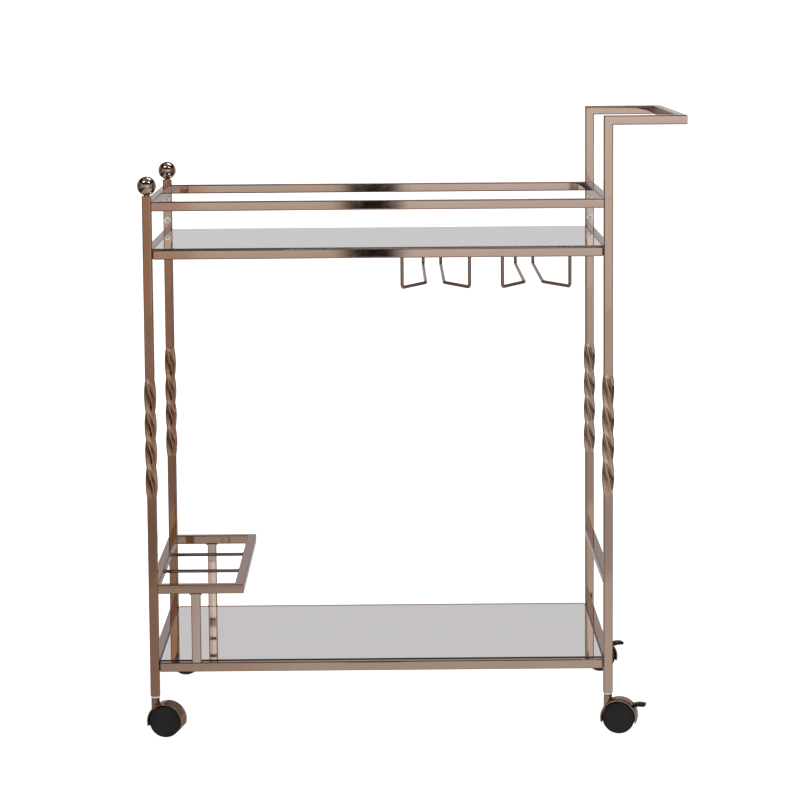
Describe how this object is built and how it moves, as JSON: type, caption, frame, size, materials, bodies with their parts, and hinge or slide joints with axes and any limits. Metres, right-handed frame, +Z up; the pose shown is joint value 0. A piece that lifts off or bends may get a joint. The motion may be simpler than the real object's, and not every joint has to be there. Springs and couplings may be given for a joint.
{
  "type": "bar cart",
  "caption": "Two-tier rolling bar cart in bronze-plated square tube with mirrored shelves, twisted posts, push handle, bottle rack, stemware racks and swivel casters.",
  "frame": {"origin": "on the floor, under the middle of the cart's bounding box", "axes": "+X towards the push handle, +Y to the back, +Z up"},
  "size_m": [0.8171, 0.4324, 0.934],
  "materials": {
    "bronze_plate": "polished rose-bronze plating on steel tube, mirror-like, darker in reflections",
    "mirror_glass": "silvered float glass with polished arrises",
    "zinc_steel": "bright zinc-plated steel",
    "black_plastic": "black moulded nylon, slightly glossy"
  },
  "bodies": {
    "frame": {"front_left_post": "bronze_plate", "back_left_post": "bronze_plate", "front_right_post": "bronze_plate", "back_right_post": "bronze_plate", "front_finial": "bronze_plate", "back_finial": "bronze_plate", "gallery_front_rail": "bronze_plate", "gallery_back_rail": "bronze_plate", "gallery_left_rail": "bronze_plate", "gallery_right_rail": "bronze_plate", "upper_shelf_front_rail": "bronze_plate", "upper_shelf_back_rail": "bronze_plate", "upper_shelf_left_rail": "bronze_plate", "upper_shelf_right_rail": "bronze_plate", "lower_shelf_front_rail": "bronze_plate", "lower_shelf_back_rail": "bronze_plate", "lower_shelf_left_rail": "bronze_plate", "lower_shelf_right_rail": "bronze_plate", "upper_mirror": "mirror_glass", "lower_mirror": "mirror_glass", "right_crossbar": "bronze_plate", "bottle_rack_frame": "bronze_plate", "bottle_rack_side_bar": "bronze_plate", "bottle_rack_front_rod": "bronze_plate", "bottle_rack_back_rod": "bronze_plate", "bottle_rack_front_leg": "bronze_plate", "bottle_rack_back_leg": "bronze_plate", "stemware_rack_1": "bronze_plate", "stemware_rack_2": "bronze_plate", "push_handle": "bronze_plate", "front_left_lower_bolt": "zinc_steel", "front_left_upper_bolt": "zinc_steel", "back_left_lower_bolt": "zinc_steel", "back_left_upper_bolt": "zinc_steel", "front_right_lower_bolt": "zinc_steel", "front_right_upper_bolt": "zinc_steel", "back_right_lower_bolt": "zinc_steel", "back_right_upper_bolt": "zinc_steel", "front_left_caster_stem": "zinc_steel", "back_left_caster_stem": "zinc_steel", "front_right_caster_stem": "zinc_steel", "back_right_caster_stem": "zinc_steel"},
    "front_left_caster": {"front_left_caster_housing": "bronze_plate", "front_left_axle": "zinc_steel"},
    "front_left_outer_wheel": {"front_left_outer_wheel": "black_plastic"},
    "front_left_inner_wheel": {"front_left_inner_wheel": "black_plastic"},
    "back_left_caster": {"back_left_caster_housing": "bronze_plate", "back_left_axle": "zinc_steel"},
    "back_left_outer_wheel": {"back_left_outer_wheel": "black_plastic"},
    "back_left_inner_wheel": {"back_left_inner_wheel": "black_plastic"},
    "front_right_caster": {"front_right_caster_housing": "bronze_plate", "front_right_axle": "zinc_steel"},
    "front_right_outer_wheel": {"front_right_outer_wheel": "black_plastic"},
    "front_right_inner_wheel": {"front_right_inner_wheel": "black_plastic"},
    "front_right_brake": {"front_right_brake_lever": "black_plastic"},
    "back_right_caster": {"back_right_caster_housing": "bronze_plate", "back_right_axle": "zinc_steel"},
    "back_right_outer_wheel": {"back_right_outer_wheel": "black_plastic"},
    "back_right_inner_wheel": {"back_right_inner_wheel": "black_plastic"},
    "back_right_brake": {"back_right_brake_lever": "black_plastic"}
  },
  "joints": [
    {"name": "front_left_swivel", "type": "hinge", "parent": "frame", "child": "front_left_caster", "pos_m": [-0.39437, -0.193, 0.0577], "axis": [0, 0, 1], "continuous": true},
    {"name": "front_left_outer_wheel_spin", "type": "hinge", "parent": "front_left_caster", "child": "front_left_outer_wheel", "pos_m": [-0.37752, -0.19643, 0.0245], "axis": [0.1994, 0.9799, 0], "continuous": true},
    {"name": "front_left_inner_wheel_spin", "type": "hinge", "parent": "front_left_caster", "child": "front_left_inner_wheel", "pos_m": [-0.37752, -0.19643, 0.0245], "axis": [0.1994, 0.9799, 0], "continuous": true},
    {"name": "back_left_swivel", "type": "hinge", "parent": "frame", "child": "back_left_caster", "pos_m": [-0.39437, 0.193, 0.0577], "axis": [0, 0, 1], "continuous": true},
    {"name": "back_left_outer_wheel_spin", "type": "hinge", "parent": "back_left_caster", "child": "back_left_outer_wheel", "pos_m": [-0.37752, 0.19643, 0.0245], "axis": [-0.1994, 0.9799, 0], "continuous": true},
    {"name": "back_left_inner_wheel_spin", "type": "hinge", "parent": "back_left_caster", "child": "back_left_inner_wheel", "pos_m": [-0.37752, 0.19643, 0.0245], "axis": [-0.1994, 0.9799, 0], "continuous": true},
    {"name": "front_right_swivel", "type": "hinge", "parent": "frame", "child": "front_right_caster", "pos_m": [0.29163, -0.193, 0.0577], "axis": [0, 0, 1], "continuous": true},
    {"name": "front_right_outer_wheel_spin", "type": "hinge", "parent": "front_right_caster", "child": "front_right_outer_wheel", "pos_m": [0.30848, -0.19643, 0.0245], "axis": [0.1994, 0.9799, 0], "continuous": true},
    {"name": "front_right_inner_wheel_spin", "type": "hinge", "parent": "front_right_caster", "child": "front_right_inner_wheel", "pos_m": [0.30848, -0.19643, 0.0245], "axis": [0.1994, 0.9799, 0], "continuous": true},
    {"name": "front_right_brake_press", "type": "hinge", "parent": "front_right_caster", "child": "front_right_brake", "pos_m": [0.33103, -0.20102, 0.04248], "axis": [0.1994, 0.9799, 0], "range_deg": [0, 18]},
    {"name": "back_right_swivel", "type": "hinge", "parent": "frame", "child": "back_right_caster", "pos_m": [0.29163, 0.193, 0.0577], "axis": [0, 0, 1], "continuous": true},
    {"name": "back_right_outer_wheel_spin", "type": "hinge", "parent": "back_right_caster", "child": "back_right_outer_wheel", "pos_m": [0.30848, 0.19643, 0.0245], "axis": [-0.1994, 0.9799, 0], "continuous": true},
    {"name": "back_right_inner_wheel_spin", "type": "hinge", "parent": "back_right_caster", "child": "back_right_inner_wheel", "pos_m": [0.30848, 0.19643, 0.0245], "axis": [-0.1994, 0.9799, 0], "continuous": true},
    {"name": "back_right_brake_press", "type": "hinge", "parent": "back_right_caster", "child": "back_right_brake", "pos_m": [0.33103, 0.20102, 0.04248], "axis": [-0.1994, 0.9799, 0], "range_deg": [0, 18]}
  ]
}
